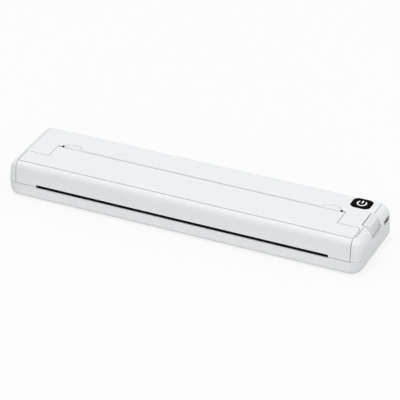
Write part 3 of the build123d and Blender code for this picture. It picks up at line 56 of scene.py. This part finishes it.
def linear(hex_colour):
    """An sRGB hex colour as linear RGBA."""
    channels = [int(hex_colour[i:i + 2], 16) / 255 for i in (1, 3, 5)]
    return (*(c / 12.92 if c <= 0.04045 else ((c + 0.055) / 1.055) ** 2.4 for c in channels), 1.0)


def add(tree, kind, settings=None, **links):
    """Adds a node. settings are its properties, or its inputs by name; links feed its inputs."""
    node = tree.nodes.new(kind)
    for key, value in (settings or {}).items():
        if key in node.inputs:
            node.inputs[key].default_value = value
        else:
            setattr(node, key, value)
    for key, source in links.items():
        tree.links.new(source, node.inputs[key.replace("_", " ")])
    return node


def seen_rays(tree):
    """The socket that is 1 for rays that look at the backdrop, and 0 for its light on things."""
    path = add(tree, "ShaderNodeLightPath")
    joined = path.outputs[SEEN_RAYS[0]]
    for kind in SEEN_RAYS[1:]:
        either = add(tree, "ShaderNodeMath", {"operation": "MAXIMUM"})
        tree.links.new(joined, either.inputs[0])
        tree.links.new(path.outputs[kind], either.inputs[1])
        joined = either.outputs[0]
    return joined


world = bpy.data.worlds.new("studio")
scene.world = world
world.use_nodes = True
tree = world.node_tree
tree.nodes.clear()
walls = add(tree, "ShaderNodeBackground",
            {"Color": linear(TENT_COLOUR), "Strength": TENT_STRENGTH})
backdrop = add(tree, "ShaderNodeBackground", {"Color": WHITE, "Strength": WHITE_STRENGTH})
choice = add(tree, "ShaderNodeMixShader", None, Fac=seen_rays(tree))
tree.links.new(walls.outputs[0], choice.inputs[1])
tree.links.new(backdrop.outputs[0], choice.inputs[2])
add(tree, "ShaderNodeOutputWorld", None, Surface=choice.outputs[0])

# ---- Floor ------------------------------------------------------------------------------------
# A white sweep that keeps a faint shadow. What it throws back is held down, so that the ends of
# the printer get darker towards the table.
FLOOR_HALF = 6.0
FLOOR_SEEN = "#F6F6F6"
FLOOR_THROWN = "#989898"
SHADOW_KEPT = 0.2
COLOUR_A, COLOUR_B, COLOUR_OUT = 6, 7, 2    # a Mix node's sockets for colours

floor_mesh = bpy.data.meshes.new("floor")
bm = bmesh.new()
bmesh.ops.create_grid(bm, x_segments=1, y_segments=1, size=FLOOR_HALF)
bm.to_mesh(floor_mesh)
bm.free()
floor = bpy.data.objects.new("floor", floor_mesh)
scene.collection.objects.link(floor)

sweep = bpy.data.materials.new("white_sweep")
sweep.use_nodes = True
tree = sweep.node_tree
tree.nodes.clear()
seen = seen_rays(tree)
tone = add(tree, "ShaderNodeMix", {"data_type": "RGBA"})
tree.links.new(seen, tone.inputs[0])
tone.inputs[COLOUR_A].default_value = linear(FLOOR_THROWN)
tone.inputs[COLOUR_B].default_value = linear(FLOOR_SEEN)
lit = add(tree, "ShaderNodeBsdfDiffuse", None, Color=tone.outputs[COLOUR_OUT])
glow = add(tree, "ShaderNodeEmission", {"Color": WHITE, "Strength": WHITE_STRENGTH})
glow_share = add(tree, "ShaderNodeMath", {"operation": "MULTIPLY"})
tree.links.new(seen, glow_share.inputs[0])
glow_share.inputs[1].default_value = 1 - SHADOW_KEPT
blend = add(tree, "ShaderNodeMixShader", None, Fac=glow_share.outputs[0])
tree.links.new(lit.outputs[0], blend.inputs[1])
tree.links.new(glow.outputs[0], blend.inputs[2])
add(tree, "ShaderNodeOutputMaterial", None, Surface=blend.outputs[0])
floor.data.materials.append(sweep)

# ---- Lamps ------------------------------------------------------------------------------------
# A big soft box overhead and low ones in front and at the right add a little direction. A
# narrow card that lies just above the table in front lifts the lower tray.


def soft_box(name, place, target, width, depth, watts):
    """A white soft box that faces a point."""
    data = bpy.data.lights.new(name, "AREA")
    data.shape = "RECTANGLE"
    data.size = width
    data.size_y = depth
    data.energy = watts
    lamp = bpy.data.objects.new(name, data)
    lamp.location = place
    aim = Vector(target) - Vector(place)
    lamp.rotation_euler = aim.to_track_quat("-Z", "Y").to_euler()
    scene.collection.objects.link(lamp)
    return lamp


soft_box("overhead", place=(-0.05, -0.1, 1.6), target=(0, 0, 0.02), width=2.2, depth=1.4,
         watts=5.4)
soft_box("right_fill", place=(1.9, -0.5, 0.7), target=(0, 0, 0.02), width=1.2, depth=1.0,
         watts=2.6)
soft_box("low_front", place=(0.6, -1.9, 0.15), target=(0, 0, 0), width=1.6, depth=0.3,
         watts=6.3)
card = soft_box("front_card", place=(0, -0.045, 0.001), target=(0, -0.045, 1), width=0.25,
                depth=0.026, watts=0.005)
card.visible_camera = False

# ---- White casing -----------------------------------------------------------------------------
# The tray, the rear housing, its end caps and the cover's outer skins are injection moulded
# ABS. A spark-eroded mould gives them a satin sheen. Such a grain is typically about 0.05 mm,
# too fine to show, and is drawn at 0.4 mm.
METRE_MM = 1000.0
PATCH_MM = 18.0             # faint patches, where the plastic flowed unevenly
PATCH_ENDS = (0.35, 0.65)
GLOSS_SPREAD = 0.03
GRAIN_DEPTH = 0.00002
PLASTIC_IOR = 1.5


def moulded(name, colour, roughness, grain_mm, bump, mottling, specular=0.5):
    """A moulded surface: faint patches in its tone and gloss, and a fine grain."""
    material = bpy.data.materials.new(name)
    material.use_nodes = True
    tree = material.node_tree
    tree.nodes.clear()
    place = add(tree, "ShaderNodeTexCoord")
    patches = add(tree, "ShaderNodeTexNoise", {"Scale": METRE_MM / PATCH_MM, "Detail": 3.0},
                  Vector=place.outputs["Object"])
    shades = [tuple(c * k for c in linear(colour)[:3]) + (1.0,) for k in (1 - mottling, 1.0)]
    tone = add(tree, "ShaderNodeValToRGB", None, Fac=patches.outputs["Fac"])
    for stop, shade, position in zip(tone.color_ramp.elements, shades, PATCH_ENDS):
        stop.color = shade
        stop.position = position
    gloss = add(tree, "ShaderNodeMapRange",
                {"To Min": roughness - GLOSS_SPREAD, "To Max": roughness + GLOSS_SPREAD},
                Value=patches.outputs["Fac"])
    grain = add(tree, "ShaderNodeTexNoise", {"Scale": METRE_MM / grain_mm, "Detail": 2.0},
                Vector=place.outputs["Object"])
    relief = add(tree, "ShaderNodeBump", {"Strength": bump, "Distance": GRAIN_DEPTH},
                 Height=grain.outputs["Fac"])
    surface = add(tree, "ShaderNodeBsdfPrincipled",
                  {"IOR": PLASTIC_IOR, "Specular IOR Level": specular},
                  Base_Color=tone.outputs["Color"], Roughness=gloss.outputs["Result"],
                  Normal=relief.outputs["Normal"])
    add(tree, "ShaderNodeOutputMaterial", None, Surface=surface.outputs[0])
    return material


def dress(material, *names):
    """Gives CAD nodes their material."""
    for name in names:
        nodes[name].data.materials.clear()
        nodes[name].data.materials.append(material)


abs_white = moulded("abs_white_satin", colour="#F1F3F5", roughness=0.42, grain_mm=0.4,
                    bump=0.25, mottling=0.012)
dress(abs_white, "lower_shell", "rear_housing", "left_end_cap", "right_end_cap",
      "front_fascia", "top_panel")

# ---- Feet -------------------------------------------------------------------------------------
# Four moulded rubber discs, stuck into shallow recesses under the tray. Here and in the small
# pieces below, the real grain is too fine to show and is drawn at 0.3 to 0.8 mm.
rubber = moulded("rubber_matt_black", colour="#1C1C1D", roughness=0.75, grain_mm=0.5, bump=0.5,
                 mottling=0.1)
dress(rubber, "rubber_feet")

# ---- Main board -------------------------------------------------------------------------------
# A green solder-masked fibreglass board on posts at the tray's right end, with black chips and
# the switch of the power button on it. The cover's switch and the paper sensor stand in the
# tray and get the same moulded black epoxy.
fibreglass = moulded("fibreglass_green", colour="#155C36", roughness=0.35, grain_mm=0.5,
                     bump=0.15, mottling=0.12)
dress(fibreglass, "main_board")
epoxy = moulded("epoxy_black", colour="#202124", roughness=0.5, grain_mm=0.4, bump=0.3,
                mottling=0.08)
dress(epoxy, "board_chips", "tact_switch", "cover_switch", "paper_sensor")

# ---- Charging port ----------------------------------------------------------------------------
# A folded, nickel-plated steel shell on the board's edge, round a pale moulded nylon tongue.
# Plating shows as soft clouds, with no direction.
METAL_SHADES = (0.9, 1.0)
METAL_SPREAD = 0.06
EVEN = (1.0, 1.0, 1.0)


def metal(name, colour, roughness, line_mm, across):
    """A bare or plated metal. Its pattern is drawn out along the axis where across is small."""
    material = bpy.data.materials.new(name)
    material.use_nodes = True
    tree = material.node_tree
    tree.nodes.clear()
    place = add(tree, "ShaderNodeTexCoord")
    drawn_out = add(tree, "ShaderNodeMapping", {"Scale": across}, Vector=place.outputs["Object"])
    lines = add(tree, "ShaderNodeTexNoise", {"Scale": METRE_MM / line_mm, "Detail": 3.0},
                Vector=drawn_out.outputs["Vector"])
    shades = [tuple(c * k for c in linear(colour)[:3]) + (1.0,) for k in METAL_SHADES]
    tone = add(tree, "ShaderNodeValToRGB", None, Fac=lines.outputs["Fac"])
    for stop, shade in zip(tone.color_ramp.elements, shades):
        stop.color = shade
    gloss = add(tree, "ShaderNodeMapRange",
                {"To Min": roughness - METAL_SPREAD, "To Max": roughness + METAL_SPREAD},
                Value=lines.outputs["Fac"])
    surface = add(tree, "ShaderNodeBsdfPrincipled", {"Metallic": 1.0},
                  Base_Color=tone.outputs["Color"], Roughness=gloss.outputs["Result"])
    add(tree, "ShaderNodeOutputMaterial", None, Surface=surface.outputs[0])
    return material


nickel = metal("nickel_plated", colour="#CFCBC2", roughness=0.25, line_mm=1.0, across=EVEN)
dress(nickel, "usb_c_receptacle")
nylon_pale = moulded("nylon_pale_grey", colour="#B4B6B8", roughness=0.45, grain_mm=0.4,
                     bump=0.1, mottling=0.02)
dress(nylon_pale, "usb_c_tongue")

# ---- Batteries --------------------------------------------------------------------------------
# Two lithium cells in blue shrink wrap, with soft ripples 2 mm wide, lie in a dark grey ABS
# holder at the rear of the tray. Their contacts are nickel plated, and two red insulated leads
# run to the board.
abs_dark = moulded("abs_dark_grey", colour="#4A4C4F", roughness=0.5, grain_mm=0.5, bump=0.3,
                   mottling=0.06)
dress(abs_dark, "battery_holder")
shrink_wrap = moulded("pvc_wrap_blue", colour="#2C5C9E", roughness=0.3, grain_mm=2.0, bump=0.1,
                      mottling=0.03)
dress(shrink_wrap, "battery_cells")
dress(nickel, "battery_contacts")
wire_red = moulded("pvc_wire_red", colour="#A8161A", roughness=0.4, grain_mm=0.5, bump=0.1,
                   mottling=0.05)
dress(wire_red, "battery_leads")

# ---- Motor and gears --------------------------------------------------------------------------
# A stepper motor and the idler's pin sit on a zinc-plated steel plate at the left end. The
# gears are natural acetal, and the pinion is one piece with the motor's shaft. The lines that
# rolling and drawing leave in steel are too fine to show, and are drawn at 0.8 mm, along X.
steel = metal("steel_zinc_plated", colour="#C9CCD0", roughness=0.34, line_mm=0.8,
              across=(0.1, 1.0, 1.0))
dress(steel, "gear_plate", "stepper_motor", "motor_screws", "idler_pin")
acetal = moulded("acetal_natural", colour="#ECE9DF", roughness=0.38, grain_mm=0.6, bump=0.1,
                 mottling=0.02)
dress(acetal, "platen_gear", "idler_gear", "motor_pinion")

# ---- Print head -------------------------------------------------------------------------------
# A glazed alumina strip with a dark heater line lies on an extruded aluminium heat sink. The
# sink and a fibreglass circuit sit on a steel bracket, which three springs press up, and an
# amber polyimide cable runs to the board.
dress(steel, "head_bracket", "head_springs")
aluminium = metal("aluminium_extruded", colour="#D5D7DA", roughness=0.3, line_mm=0.6,
                  across=(0.05, 1.0, 1.0))
dress(aluminium, "head_heat_sink")
alumina = moulded("alumina_glazed", colour="#E4E0D6", roughness=0.2, grain_mm=0.8, bump=0.05,
                  mottling=0.03)
dress(alumina, "head_ceramic")
glaze = moulded("glass_glaze_brown", colour="#3A2A22", roughness=0.12, grain_mm=0.8, bump=0.05,
                mottling=0.05)
dress(glaze, "heater_line")
dress(fibreglass, "head_circuit")
polyimide = moulded("polyimide_amber", colour="#B8661E", roughness=0.3, grain_mm=0.8,
                    bump=0.05, mottling=0.08)
dress(polyimide, "head_flex_cable")

# ---- Paper path -------------------------------------------------------------------------------
# A grey ABS chute leads the sheet from the entry slot to the print line, and a coal grey ledge
# lies just inside the exit slot. Two matt black studs stand at the sheet's edges; their black is
# painted shade, standing in for the dark of small holes there.
abs_mid = moulded("abs_mid_grey", colour="#8A8C8F", roughness=0.5, grain_mm=0.5, bump=0.3,
                  mottling=0.06)
dress(abs_mid, "paper_guide")
abs_coal = moulded("abs_coal_grey", colour="#2A2B2D", roughness=0.5, grain_mm=0.5, bump=0.1,
                   mottling=0.05, specular=0.1)
dress(abs_coal, "exit_guide")
# Matt black: the power button's own colour, and painted shade on the edge marks.
abs_black_and_painted_shade = moulded("abs_black_matt_and_painted_shade", colour="#050506", roughness=0.5, grain_mm=0.5, bump=0.1,
                    mottling=0.05, specular=0.015)
dress(abs_black_and_painted_shade, "edge_marks")

# ---- Cover frame and platen -------------------------------------------------------------------
# A dark grey ABS frame is screwed under the cover. The platen turns in it, on a steel shaft in
# two bushes: a silicone rubber sleeve that is ground true. The bushes are sintered bronze,
# whose grains are too fine to show and are drawn at 0.4 mm.
dress(abs_dark, "cover_frame")
dress(steel, "platen_shaft")
silicone = moulded("silicone_ground_black", colour="#2A2A2C", roughness=0.6, grain_mm=0.3,
                   bump=0.35, mottling=0.05)
dress(silicone, "platen_rubber")
bronze = metal("bronze_sintered", colour="#B98C54", roughness=0.45, line_mm=0.4, across=EVEN)
dress(bronze, "platen_bushes")

# ---- Power button -----------------------------------------------------------------------------
# A matt black ABS key that sits in a well of the rear housing, over the board's switch. Its
# white power symbol is a shallow inlay in its top.
dress(abs_black_and_painted_shade, "power_button")
abs_symbol = moulded("abs_symbol_white", colour="#FFFFFF", roughness=0.4, grain_mm=0.5,
                     bump=0.1, mottling=0.0)
dress(abs_symbol, "power_symbol")

# ---- Latch ------------------------------------------------------------------------------------
# The button is a moulding of its own, drawn in the casing's ABS made slightly greyer: painted
# shade for the darker tone of its top plate. It drives a hook of natural acetal, and a steel
# spring returns it.
# A slightly greyer white: painted shade on the latch button's top.
abs_white_painted_shade = moulded("abs_white_painted_shade_satin", colour="#E6E8EA", roughness=0.42, grain_mm=0.4,
                   bump=0.25, mottling=0.012)
dress(abs_white_painted_shade, "latch_button")
dress(acetal, "latch_hook")
dress(steel, "latch_spring")

# ---- Screws and hinge pins --------------------------------------------------------------------
# Zinc-plated steel. The case screws go up through the tray into the rear housing, the cover
# screws hold the frame under the cover, and the cover turns on two pins.
dress(steel, "case_screws", "cover_screws", "hinge_pins")
